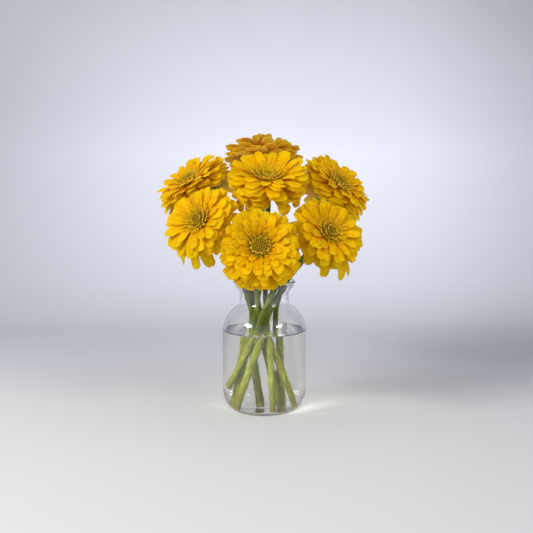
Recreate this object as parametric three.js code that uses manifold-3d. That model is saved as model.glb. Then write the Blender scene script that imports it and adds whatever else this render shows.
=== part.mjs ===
// Nine golden yellow double zinnias, cut and stripped of leaves, standing in a clear glass bottle vase of water.
// Millimetres, +Z up. The origin is the centre of the vase's flat foot, and the bouquet's front faces -Y.
import * as THREE from "three";
import { mergeVertices } from "three/addons/utils/BufferGeometryUtils.js";
import Module from "manifold-3d";

const wasm = await Module();
wasm.setup();

// Vase: a straight body, a round heel and shoulder, a short neck and a flared lip.
const VASE_HEIGHT = 158;
const BODY_RADIUS = 50;
const WALL = 3;
const FLOOR = 6;
const FOOT_RADIUS = 31;
const HEEL_TOP = 28;
const SHOULDER_BOTTOM = 97;
const SHOULDER_TURN = 122.5;
const SHOULDER_TURN_RADIUS = 38.5;
const SHOULDER_TOP = 136;
const NECK_RADIUS = 29.5;
const NECK_TOP = 141;
const LIP_RADIUS = 37;
const LIP_HALF = 2;
const VASE_SIDES = 30;
const VASE_STEPS = 3;

// Water, and the clearance that keeps touching solids apart.
const WATER_LEVEL = 98;
const GAP = 0.3;

// Stems: each runs straight from its foot to the waist where all of them cross, then bends to its bloom.
const STEM_SIDES = 7;
const WAIST_HEIGHT = 112;
const WATER_STEPS = 2;
const BEND_STEPS = 6;
const STEM_SINK = 2;

// Green cup of bracts under each bloom, measured along the bloom's axis down from its disc.
const CUP_SIDES = 12;
const CUP_DEPTH = 11;
const CUP_RADIUS = 10;
const BRACT_RELIEF = 0.55;

// Petal section: three corners, a ridge along the top and a flat underside.
const PETAL_RIDGE = 1.5;
const PETAL_STATIONS = [
  { at: 0.4, width: 0.64 },
  { at: 0.76, width: 1 },
  { at: 1, width: 0.58 },
];
const CORE_SIDES = 8;
const CORE_TOP_RADIUS = 10.8;
const CORE_FOOT_RADIUS = 6.5;

// Disc of florets in the middle of each bloom, as a dome in relief.
const DISC_RADIUS = 9.8;
const DISC_HEIGHT = 6.8;
const DISC_SIDES = 11;
const DISC_RINGS = 4;
const DISC_RELIEF = 0.5;

// Whorls of petals from the outermost in: how many, where each petal's root sits in the core (out from the axis and up
// from the disc's foot), the rise of the petal in degrees at root and tip, and its length and greatest width.
const SPARSE_WHORLS = [
  { count: 12, out: 5, up: -10, rise: 12, tip: -24, length: 46, width: 16, turn: 0 },
  { count: 11, out: 5, up: -7.5, rise: 22, tip: -10, length: 42, width: 15, turn: 0.5 },
  { count: 8, out: 5.5, up: -5.5, rise: 36, tip: 8, length: 34, width: 13, turn: 0.2 },
];
const OPEN_WHORLS = [
  { count: 13, out: 5, up: -10, rise: 10, tip: -26, length: 46, width: 15.5, turn: 0 },
  { count: 12, out: 5, up: -7.5, rise: 18, tip: -13, length: 44, width: 15, turn: 0.5 },
  { count: 9, out: 5.5, up: -5.5, rise: 28, tip: 2, length: 40, width: 13.5, turn: 0.2 },
  { count: 7, out: 7.5, up: -5, rise: 37, tip: 13, length: 34, width: 12, turn: 0.6 },
];
const DOUBLE_WHORLS = [
  { count: 9, out: 5, up: -12, rise: 0, tip: -46, length: 46, width: 14.5, turn: 0 },
  { count: 12, out: 5, up: -10, rise: 11, tip: -26, length: 46, width: 15.5, turn: 0.5 },
  { count: 12, out: 5, up: -7.5, rise: 20, tip: -12, length: 45, width: 15, turn: 0.25 },
  { count: 10, out: 5.5, up: -5.5, rise: 29, tip: 0, length: 42, width: 14, turn: 0.7 },
  { count: 8, out: 7.5, up: -4.5, rise: 38, tip: 12, length: 36, width: 12.5, turn: 0.4 },
];
const FULL_WHORLS = [
  { count: 14, out: 5, up: -14, rise: 0, tip: -46, length: 36, width: 14.5, turn: 0 },
  { count: 15, out: 5, up: -11.5, rise: 12, tip: -28, length: 42, width: 14.5, turn: 0.5 },
  { count: 14, out: 5, up: -9, rise: 24, tip: -12, length: 44, width: 14, turn: 0.25 },
  { count: 12, out: 5.5, up: -6.5, rise: 36, tip: 4, length: 41, width: 13, turn: 0.7 },
  { count: 9, out: 7.5, up: -5, rise: 47, tip: 20, length: 35, width: 12, turn: 0.4 },
];
const KINDS = {
  sparse: { whorls: SPARSE_WHORLS, depth: 13 },
  open: { whorls: OPEN_WHORLS, depth: 13 },
  double: { whorls: DOUBLE_WHORLS, depth: 15 },
  full: { whorls: FULL_WHORLS, depth: 17 },
};
// How far chance moves a petal: its bearing as a share of the whorl's spacing, its rise in degrees, and its length as a
// share.
const SPREAD_BEARING = 0.3;
const SPREAD_RISE = 7;
const SPREAD_LENGTH = 0.1;
// Blooms: the middle of the disc's foot, the bearing of the axis (0 to the front, 90 to the right), its height above
// level, a size factor, a turn about the axis, and sag, the degrees by which petals on the lower side hang more at the
// tip. Then the stem's foot, the point it passes at the waist, and its radius.
const BLOOMS = [
  {
    name: "front", kind: "full", at: [-4.5, -86, 208.5], bearing: 3, height: 32, size: 1.02, turn: 10, sag: 8,
    foot: [12.8, 16.8], waist: [-5, -7.9], stem: 3.2,
  },
  {
    name: "front_left", kind: "double", at: [-75, -46, 234.5], bearing: -38, height: 34, size: 1, turn: 0, sag: 32,
    foot: [-3.1, 26.1], waist: [-14.5, 3.4], stem: 3,
  },
  {
    name: "front_right", kind: "double", at: [75, -46, 221], bearing: 36, height: 35, size: 0.96, turn: 20, sag: 30,
    foot: [-26.8, -6.3], waist: [2.9, -13], stem: 3.6,
  },
  {
    name: "middle", kind: "double", at: [4.8, -14, 281], bearing: 0, height: 67, size: 1.2, turn: 5, sag: 28,
    foot: [-24.9, 14.1], waist: [-11.2, -2.9], stem: 3,
  },
  {
    name: "left", kind: "open", at: [-88, 8, 278], bearing: -60, height: 55, size: 0.99, turn: 12, sag: 26,
    foot: [28, 1.1], waist: [-3.3, 4.7], stem: 3,
  },
  {
    name: "right", kind: "open", at: [88.5, 10, 274], bearing: 58, height: 50, size: 0.98, turn: 0, sag: 28,
    foot: [-31.2, 10, 26], waist: [-4.4, -19.6], stem: 3.2,
  },
  {
    name: "back", kind: "open", at: [-3, 62, 305], bearing: 180, height: 67, size: 1.1, turn: 8, sag: 10,
    foot: [9, -25.8], waist: [3.1, -3.8], stem: 2.9,
  },
  {
    name: "back_left", kind: "sparse", at: [-76, 84, 268], bearing: -135, height: 55, size: 0.98, turn: 3, sag: 10,
    foot: [-22.4, 20.2], waist: [-15.4, 10.9], stem: 2.8,
  },
  {
    name: "back_right", kind: "sparse", at: [82, 86, 262], bearing: 135, height: 52, size: 0.95, turn: 14, sag: 10,
    foot: [12.7, 24.9], waist: [13.4, -1.5], stem: 3,
  },
];
// Neighbouring blooms press on a plane midway between them: petals bend away from it over this depth.
const PRESS_DEPTH = 9;
const PRESS_CLEAR = 0.6;

const CLEAR = { roughness: 0.05, metalness: 0, transparent: true };
const GLASS = new THREE.MeshStandardMaterial({ ...CLEAR, color: 0xe9efef, opacity: 0.35 });
const WATER = new THREE.MeshStandardMaterial({ ...CLEAR, color: 0xe6eae4, opacity: 0.4 });
const STEM = new THREE.MeshStandardMaterial({ color: 0x748036, roughness: 0.6, metalness: 0 });
const PETAL = new THREE.MeshStandardMaterial({ color: 0xf2b90f, roughness: 0.65, metalness: 0 });
const DISC = new THREE.MeshStandardMaterial({ color: 0x9a8a1c, roughness: 0.8, metalness: 0 });

const radians = THREE.MathUtils.degToRad;

// A repeatable draw from 0 to 1 for petal k of bloom b.
function chance(b, k, what) {
  const x = Math.sin((b + 1) * 12.9898 + (k + 1) * 78.233 + what * 37.719) * 43758.5453;
  return x - Math.floor(x);
}

// A closed solid from vertices and triangles.
function solidOf(points, triangles) {
  const vertProperties = new Float32Array(points.flatMap((p) => [p.x, p.y, p.z]));
  return new wasm.Manifold(new wasm.Mesh({ numProp: 3, vertProperties, triVerts: new Uint32Array(triangles) }));
}

// A closed solid from a three.js geometry, with its vertices merged and its empty triangles left out.
function solidFrom(geometry) {
  const bare = new THREE.BufferGeometry();
  bare.setAttribute("position", geometry.getAttribute("position"));
  bare.setIndex(geometry.index);
  const merged = mergeVertices(bare, 1e-3);
  const kept = [];
  for (let i = 0; i < merged.index.count; i += 3) {
    const [a, b, c] = [merged.index.getX(i), merged.index.getX(i + 1), merged.index.getX(i + 2)];
    if (a !== b && b !== c && c !== a) kept.push(a, b, c);
  }
  const vertProperties = new Float32Array(merged.getAttribute("position").array);
  return new wasm.Manifold(new wasm.Mesh({ numProp: 3, vertProperties, triVerts: new Uint32Array(kept) }));
}

// A three.js geometry from a solid.
function geometryOf(solid) {
  const { vertProperties, triVerts } = solid.getMesh();
  const geometry = new THREE.BufferGeometry();
  geometry.setAttribute("position", new THREE.BufferAttribute(vertProperties, 3));
  geometry.setIndex(new THREE.BufferAttribute(triVerts, 1));
  geometry.computeVertexNormals();
  return geometry;
}

// Rings of points joined into one closed solid, each end closed by a fan about the ring's middle.
function loft(rings) {
  const sides = rings[0].length;
  const points = rings.flat();
  const triangles = [];
  for (let j = 0; j + 1 < rings.length; j++) {
    for (let i = 0; i < sides; i++) {
      const a = j * sides + i;
      const b = j * sides + ((i + 1) % sides);
      triangles.push(a, b, b + sides, a, b + sides, a + sides);
    }
  }
  const last = (rings.length - 1) * sides;
  const middle = (ring) => ring.reduce((sum, p) => sum.add(p), new THREE.Vector3()).divideScalar(sides);
  points.push(middle(rings[0]), middle(rings[rings.length - 1]));
  for (let i = 0; i < sides; i++) {
    const next = (i + 1) % sides;
    triangles.push(points.length - 2, next, i, points.length - 1, last + i, last + next);
  }
  return solidOf(points, triangles);
}

// A solid turned about +Z from a profile of [radius, height] points that starts and ends on the axis.
function turned(path) {
  const geometry = new THREE.LatheGeometry(path.getPoints(VASE_STEPS), VASE_SIDES);
  return solidFrom(geometry.rotateX(Math.PI / 2));
}

// The floor and the round heel of the vase or its water, up to the straight body.
function heelOutline(path, foot, body, floor) {
  path.lineTo(foot, floor);
  path.bezierCurveTo(foot + 9, floor, body, HEEL_TOP - 17, body, HEEL_TOP);
}

// The outer or inner outline of the vase, from the floor up to height top, at a distance in from the outside.
function wallOutline(path, inset, floor) {
  const body = BODY_RADIUS - inset;
  const neck = NECK_RADIUS - inset;
  const turn = SHOULDER_TURN_RADIUS - inset;
  heelOutline(path, FOOT_RADIUS - inset, body, floor);
  path.lineTo(body, SHOULDER_BOTTOM);
  path.bezierCurveTo(body, SHOULDER_BOTTOM + 10, turn + 6.5, SHOULDER_TURN - 6.5, turn, SHOULDER_TURN);
  path.bezierCurveTo(turn - 5, SHOULDER_TURN + 5, neck, SHOULDER_TOP - 8, neck, SHOULDER_TOP);
}

// The glass: the outer outline up to the lip's round edge, and back down the inside.
function makeVase() {
  const outer = new THREE.Path().moveTo(0, 0);
  wallOutline(outer, 0, 0);
  outer.lineTo(NECK_RADIUS, NECK_TOP);
  outer.bezierCurveTo(NECK_RADIUS, NECK_TOP + 8, LIP_RADIUS - 1, VASE_HEIGHT - 9, LIP_RADIUS, VASE_HEIGHT - LIP_HALF);
  outer.bezierCurveTo(LIP_RADIUS, VASE_HEIGHT - 0.5, LIP_RADIUS - 1, VASE_HEIGHT, LIP_RADIUS - LIP_HALF, VASE_HEIGHT);
  const inner = new THREE.Path().moveTo(0, FLOOR);
  wallOutline(inner, WALL, FLOOR);
  inner.lineTo(NECK_RADIUS - WALL, NECK_TOP);
  inner.bezierCurveTo(NECK_RADIUS - WALL, NECK_TOP + 9, LIP_RADIUS - 4, VASE_HEIGHT - 7, LIP_RADIUS - 4, VASE_HEIGHT - 1);
  const profile = new THREE.Path();
  profile.getPoints = (n) => [...outer.getPoints(n), ...inner.getPoints(n).reverse()];
  return turned(profile);
}

// The water, clear of the glass all round, before the stems' holes are cut.
function waterBody() {
  const path = new THREE.Path().moveTo(0, FLOOR + GAP);
  const body = BODY_RADIUS - WALL - GAP;
  heelOutline(path, FOOT_RADIUS - WALL - GAP, body, FLOOR + GAP);
  path.lineTo(body, WATER_LEVEL);
  path.lineTo(0, WATER_LEVEL);
  return turned(path);
}

// A bloom's own directions: its axis, and two directions across it that set where its petals' bearings start.
function frameOf(bloom) {
  const bearing = radians(bloom.bearing);
  const height = radians(bloom.height);
  const level = Math.cos(height);
  const axis = new THREE.Vector3(Math.sin(bearing) * level, -Math.cos(bearing) * level, Math.sin(height));
  const across = new THREE.Vector3(Math.cos(bearing), Math.sin(bearing), 0);
  return { centre: new THREE.Vector3(...bloom.at), axis, across, over: axis.clone().cross(across) };
}

// A point of a bloom, from its distance out, bearing and height along the axis.
function place(frame, out, bearing, up) {
  return frame.centre
    .clone()
    .addScaledVector(frame.across, out * Math.cos(bearing))
    .addScaledVector(frame.over, out * Math.sin(bearing))
    .addScaledVector(frame.axis, up);
}

const FRAMES = BLOOMS.map(frameOf);

// Bends a point of bloom b away from the planes where its neighbours press on it.
function pressed(point, b) {
  const here = FRAMES[b].centre;
  FRAMES.forEach((other, j) => {
    if (j === b) return;
    const towards = other.centre.clone().sub(here);
    const halfway = towards.length() / 2;
    towards.normalize();
    const beyond = point.clone().sub(here).dot(towards) - (halfway - PRESS_CLEAR - PRESS_DEPTH);
    if (beyond > 0) point.addScaledVector(towards, PRESS_DEPTH * (1 - Math.exp(-beyond / PRESS_DEPTH)) - beyond);
  });
  return point;
}

// One petal: a point at its root in the core, then a ridged section at each station, its rise changing evenly along it.
function petal(b, whorl, index, serial) {
  const bloom = BLOOMS[b];
  const frame = FRAMES[b];
  const jitter = (what) => chance(b, serial, what) * 2 - 1;
  const step = (2 * Math.PI) / whorl.count;
  const bearing = radians(bloom.turn) + step * (index + whorl.turn + (SPREAD_BEARING / 2) * jitter(1));
  const outward = place(frame, 1, bearing, 0).sub(frame.centre);
  const sideways = frame.axis.clone().cross(outward);
  const rootRise = radians(whorl.rise + SPREAD_RISE * 0.5 * jitter(2));
  const tipRise = radians(whorl.tip + SPREAD_RISE * jitter(3) + bloom.sag * Math.min(outward.z, 0));
  const length = bloom.size * whorl.length * (1 + (SPREAD_LENGTH / 2) * jitter(4));
  const bend = tipRise - rootRise;
  const points = [place(frame, whorl.out, bearing, whorl.up)];
  for (const { at, width } of PETAL_STATIONS) {
    const rise = rootRise + bend * at;
    const out = whorl.out + (length * (Math.sin(rise) - Math.sin(rootRise))) / bend;
    const up = whorl.up - (length * (Math.cos(rise) - Math.cos(rootRise))) / bend;
    const middle = place(frame, out, bearing, up);
    const half = (bloom.size * whorl.width * width) / 2;
    const top = frame.axis.clone().multiplyScalar(Math.cos(rise)).addScaledVector(outward, -Math.sin(rise));
    points.push(middle.clone().addScaledVector(sideways, half));
    points.push(middle.clone().addScaledVector(top, PETAL_RIDGE));
    points.push(middle.clone().addScaledVector(sideways, -half));
  }
  const triangles = [0, 2, 1, 0, 3, 2, 0, 1, 3];
  for (let s = 0; s + 1 < PETAL_STATIONS.length; s++) {
    for (let i = 0; i < 3; i++) {
      const a = 1 + s * 3 + i;
      const c = 1 + s * 3 + ((i + 1) % 3);
      triangles.push(a, c, c + 3, a, c + 3, a + 3);
    }
  }
  const last = 1 + (PETAL_STATIONS.length - 1) * 3;
  triangles.push(last, last + 1, last + 2);
  return solidOf(points.map((p) => pressed(p, b)), triangles);
}

// The receptacle that a bloom's petals grow from: a cone that widens up to the disc.
function core(b) {
  const depth = KINDS[BLOOMS[b].kind].depth;
  const ring = (out, up) =>
    Array.from({ length: CORE_SIDES }, (_, i) => place(FRAMES[b], out, (i * 2 * Math.PI) / CORE_SIDES, up));
  return loft([ring(CORE_FOOT_RADIUS, -depth + GAP), ring(CORE_TOP_RADIUS, -2), ring(CORE_TOP_RADIUS, 0)]);
}

// All the petals of a bloom, fused to their receptacle.
function makePetals(b) {
  const parts = [core(b)];
  let serial = 0;
  for (const whorl of KINDS[BLOOMS[b].kind].whorls) {
    for (let i = 0; i < whorl.count; i++) {
      parts.push(petal(b, whorl, i, serial));
      serial += 1;
    }
  }
  return wasm.Manifold.union(parts);
}

// The disc: a dome whose florets stand out in staggered rows.
function makeDisc(b) {
  const rings = [];
  for (let j = 0; j < DISC_RINGS; j++) {
    const polar = (Math.PI / 2) * (1 - j / DISC_RINGS);
    rings.push(
      Array.from({ length: DISC_SIDES }, (_, i) => {
        const relief = j === 0 ? 0 : DISC_RELIEF * ((i + j) % 2 === 0 ? 1 : -1);
        const out = DISC_RADIUS * Math.sin(polar) + relief * Math.sin(polar);
        const up = GAP + DISC_HEIGHT * Math.cos(polar) + relief * Math.cos(polar);
        return place(FRAMES[b], out, (i * 2 * Math.PI) / DISC_SIDES, up);
      }),
    );
  }
  return loft(rings);
}

// The line of a stem: straight from its foot to the waist, then bending into its bloom's axis.
function stemLine(b) {
  const { foot, kind } = BLOOMS[b];
  const { centre, axis } = FRAMES[b];
  const start = new THREE.Vector3(foot[0], foot[1], foot[2] ?? FLOOR + GAP + 0.8);
  const waist = new THREE.Vector3(...BLOOMS[b].waist, WAIST_HEIGHT);
  const end = centre.clone().addScaledVector(axis, -KINDS[kind].depth - CUP_DEPTH + STEM_SINK);
  const along = waist.clone().sub(start).normalize();
  const pull = end.distanceTo(waist) / 3;
  const path = new THREE.CurvePath();
  path.add(new THREE.LineCurve3(start, waist));
  path.add(
    new THREE.CubicBezierCurve3(
      waist,
      waist.clone().addScaledVector(along, pull),
      end.clone().addScaledVector(axis, -pull),
      end,
    ),
  );
  return path;
}

// A round bar along a stem's line, from its foot up to its bloom or only to the waist.
function stemBar(b, radius, whole) {
  const [lower, upper] = stemLine(b).curves;
  const points = lower.getPoints(WATER_STEPS);
  if (whole) points.push(...upper.getPoints(BEND_STEPS).slice(1));
  let across = new THREE.Vector3(1, 0, 0);
  const rings = points.map((point, k) => {
    const before = points[Math.max(k - 1, 0)];
    const after = points[Math.min(k + 1, points.length - 1)];
    const along = after.clone().sub(before).normalize();
    across = across.clone().addScaledVector(along, -across.dot(along)).normalize();
    const over = along.clone().cross(across);
    return Array.from({ length: STEM_SIDES }, (_, i) => {
      const turn = (i * 2 * Math.PI) / STEM_SIDES;
      return point
        .clone()
        .addScaledVector(across, radius * Math.cos(turn))
        .addScaledVector(over, radius * Math.sin(turn));
    });
  });
  return loft(rings);
}

// The cup of bracts: rings round the bloom's axis whose corners stand out in staggered rows.
function cup(b) {
  const depth = KINDS[BLOOMS[b].kind].depth;
  const rows = [
    { out: BLOOMS[b].stem + 0.8, up: -CUP_DEPTH },
    { out: CUP_RADIUS * 0.78, up: -CUP_DEPTH * 0.72 },
    { out: CUP_RADIUS * 0.98, up: -CUP_DEPTH * 0.36 },
    { out: CUP_RADIUS, up: 0 },
  ];
  const rings = rows.map(({ out, up }, j) =>
    Array.from({ length: CUP_SIDES }, (_, i) => {
      const relief = j === 0 ? 0 : BRACT_RELIEF * ((i + j) % 2 === 0 ? 1 : -1);
      return place(FRAMES[b], out + relief, (i * 2 * Math.PI) / CUP_SIDES, up - depth);
    }),
  );
  return loft(rings);
}

// A stem with the cup of bracts at its top, in one piece.
function makeStem(b) {
  return stemBar(b, BLOOMS[b].stem, true).add(cup(b));
}

// The water with a plain hole for each stem.
function makeWater() {
  const holes = BLOOMS.map((bloom, b) => stemBar(b, bloom.stem + GAP, false));
  return waterBody().subtract(wasm.Manifold.union(holes));
}

const bouquet = new THREE.Group();
function addPart(name, solid, material) {
  const mesh = new THREE.Mesh(geometryOf(solid), material);
  mesh.name = name;
  bouquet.add(mesh);
}

addPart("vase", makeVase(), GLASS);
addPart("water", makeWater(), WATER);
BLOOMS.forEach((bloom, b) => {
  addPart(`stem_${bloom.name}`, makeStem(b), STEM);
  addPart(`petals_${bloom.name}`, makePetals(b), PETAL);
  addPart(`disc_${bloom.name}`, makeDisc(b), DISC);
});

export default bouquet;
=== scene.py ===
"""Nine golden yellow double zinnias standing in a clear glass bottle vase of water, dressed for rendering.

Everything is in millimetres until a mesh is made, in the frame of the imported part: +Z up, the bouquet's front to -Y.
"""

import logging
import math
from collections.abc import Callable
from dataclasses import dataclass, field
from enum import Enum
from functools import partial
from itertools import count

import bpy
import numpy as np
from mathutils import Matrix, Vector


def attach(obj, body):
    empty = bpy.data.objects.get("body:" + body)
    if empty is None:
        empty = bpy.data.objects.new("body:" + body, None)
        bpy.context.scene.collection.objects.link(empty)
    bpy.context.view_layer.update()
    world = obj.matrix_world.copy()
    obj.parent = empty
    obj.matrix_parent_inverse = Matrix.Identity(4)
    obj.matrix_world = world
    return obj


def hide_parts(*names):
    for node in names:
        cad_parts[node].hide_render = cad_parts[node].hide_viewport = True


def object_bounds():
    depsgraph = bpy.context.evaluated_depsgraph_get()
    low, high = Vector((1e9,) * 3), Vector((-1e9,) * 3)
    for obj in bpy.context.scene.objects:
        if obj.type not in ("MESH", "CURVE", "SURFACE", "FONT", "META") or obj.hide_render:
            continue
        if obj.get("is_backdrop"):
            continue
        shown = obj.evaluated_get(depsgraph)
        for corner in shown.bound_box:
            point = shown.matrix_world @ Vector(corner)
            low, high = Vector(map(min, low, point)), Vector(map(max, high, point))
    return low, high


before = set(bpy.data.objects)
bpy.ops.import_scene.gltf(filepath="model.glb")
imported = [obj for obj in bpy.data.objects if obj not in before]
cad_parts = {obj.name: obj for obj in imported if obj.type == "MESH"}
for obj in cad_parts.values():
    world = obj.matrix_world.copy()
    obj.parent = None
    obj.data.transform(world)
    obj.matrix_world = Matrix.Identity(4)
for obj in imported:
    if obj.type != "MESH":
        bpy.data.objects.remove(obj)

LOG = logging.getLogger("zinnias")
MM = 0.001
BODY = "root"
GOLDEN_ANGLE = math.pi * (3 - math.sqrt(5))
TISSUE_IOR = 1.4

# Heights, clearances and rules of chance, the same as in the solids.
WATER_LEVEL = 98.0
WAIST_HEIGHT = 112.0
STEM_SINK = 2.0
CUP_DEPTH = 11.0
CUP_RADIUS = 10.0
SPREAD_BEARING = 0.3
SPREAD_RISE = 7.0
SPREAD_LENGTH = 0.1
PRESS_DEPTH = 9.0
PRESS_CLEAR = 0.6

# Where the draws of each kind of small part start. The solids' own petals start at 0.
EXTRA_PETALS = 201
CLOSED_FLORETS = 400
OPEN_FLORETS = 600
STEM_SCARS = 700
BRACTS = 800


def linear(colour: int) -> tuple[float, float, float, float]:
    """Turns an sRGB hex colour into a linear one.

    Args:
        colour: The colour as 0xRRGGBB.

    Returns:
        Red, green, blue and an alpha of 1, as Blender's sockets take them.
    """
    parts = [((colour >> shift) & 255) / 255 for shift in (16, 8, 0)]
    return (*[c / 12.92 if c <= 0.04045 else ((c + 0.055) / 1.055) ** 2.4 for c in parts], 1.0)


def chance(bloom: int, serial: int, what: int) -> float:
    """Draws a repeatable number from 0 to 1.

    Args:
        bloom: The bloom's number.
        serial: The petal's or floret's number in that bloom.
        what: Which of its properties is drawn.

    Returns:
        The draw, the same as the solids use for that petal.
    """
    x = math.sin((bloom + 1) * 12.9898 + (serial + 1) * 78.233 + what * 37.719) * 43758.5453
    return x - math.floor(x)


def smooth(low: float, high: float, x: np.ndarray | float) -> np.ndarray | float:
    """Eases from 0 at low to 1 at high.

    Args:
        low: Where the rise starts.
        high: Where it ends.
        x: Where it is read.

    Returns:
        The eased value, of the same shape as x.
    """
    t = np.clip((np.asarray(x, float) - low) / (high - low), 0, 1)
    return t * t * (3 - 2 * t)


def unit(vector: np.ndarray) -> np.ndarray:
    """Returns the vectors of an array at length 1."""
    return vector / np.maximum(np.linalg.norm(vector, axis=-1, keepdims=True), 1e-9)


def around(number: int) -> np.ndarray:
    """Returns bearings spaced evenly round a full turn, in radians."""
    return np.linspace(0, math.tau, number, endpoint=False)


def circle(side: np.ndarray, over: np.ndarray, turns: np.ndarray) -> np.ndarray:
    """Returns the directions at some turns round a circle, from side towards over."""
    return side * np.cos(turns)[:, None] + over * np.sin(turns)[:, None]


def gathered(slope: np.ndarray, step: float) -> np.ndarray:
    """Returns the running integral, from 0, of a slope that is read at even steps."""
    return np.concatenate([[0.0], np.cumsum((slope[1:] + slope[:-1]) / 2) * step])


def bezier(start: tuple, first: tuple, second: tuple, end: tuple, steps: int) -> list[np.ndarray]:
    """Samples a cubic curve.

    Args:
        start: Where it starts.
        first: The handle of its start.
        second: The handle of its end.
        end: Where it ends.
        steps: How many points are made, the start left out.

    Returns:
        The points after the start, in order.
    """
    p = [np.asarray(q, float) for q in (start, first, second, end)]
    points = []
    for k in range(1, steps + 1):
        t = k / steps
        s = 1 - t
        points.append(p[0] * s**3 + p[1] * 3 * s * s * t + p[2] * 3 * s * t * t + p[3] * t**3)
    return points


def grid_faces(rows: int, columns: int, closed: bool = False) -> np.ndarray:
    """Lists the four-sided faces of a grid of points.

    Args:
        rows: Points along the first direction.
        columns: Points along the second direction.
        closed: Whether the last column joins the first.

    Returns:
        One row of four point numbers a face, facing along first x second direction.
    """
    i, j = np.meshgrid(np.arange(rows - 1), np.arange(columns if closed else columns - 1), indexing="ij")
    i, j = i.ravel(), j.ravel()
    k = (j + 1) % columns
    return np.stack([i * columns + j, (i + 1) * columns + j, (i + 1) * columns + k, i * columns + k], axis=1)


def rim(rows: int, columns: int) -> np.ndarray:
    """Lists the points round the edge of a grid.

    Args:
        rows: Points along the first direction.
        columns: Points along the second direction.

    Returns:
        Their numbers, in the order that the grid's faces run.
    """
    bottom = [i * columns for i in range(rows)]
    side = [(rows - 1) * columns + j for j in range(1, columns)]
    top = [i * columns + columns - 1 for i in range(rows - 2, -1, -1)]
    back = list(range(columns - 2, 0, -1))
    return np.array(bottom + side + top + back)


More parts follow.
